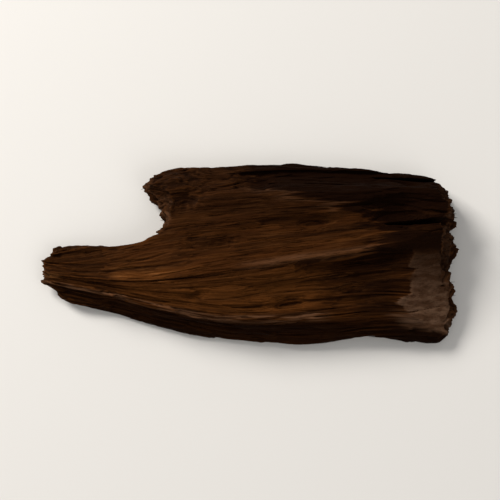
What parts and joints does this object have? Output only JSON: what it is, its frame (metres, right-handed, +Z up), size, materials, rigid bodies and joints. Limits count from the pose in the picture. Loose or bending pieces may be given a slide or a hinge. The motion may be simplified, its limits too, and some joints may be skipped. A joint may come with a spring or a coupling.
{
  "type": "agarwood chip",
  "caption": "Leaf-shaped chip of dark resinous heartwood, split along the grain into ledges and ribs, with a thin torn tail and a paler chopped end.",
  "frame": {"origin": "middle of the chip's footprint, on the surface that it lies on", "axes": "+X along the grain from the thin torn tail to the chopped end, +Y across the grain from the front rim to the back rim, +Z up, out of the broad upper face"},
  "size_m": [0.051, 0.0226, 0.0071],
  "materials": {
    "heartwood": "raw split wood, dark brown with near-black resin streaks and a dull waxy gloss"
  },
  "bodies": {
    "root": {"agarwood_chip": "heartwood"}
  },
  "joints": []
}
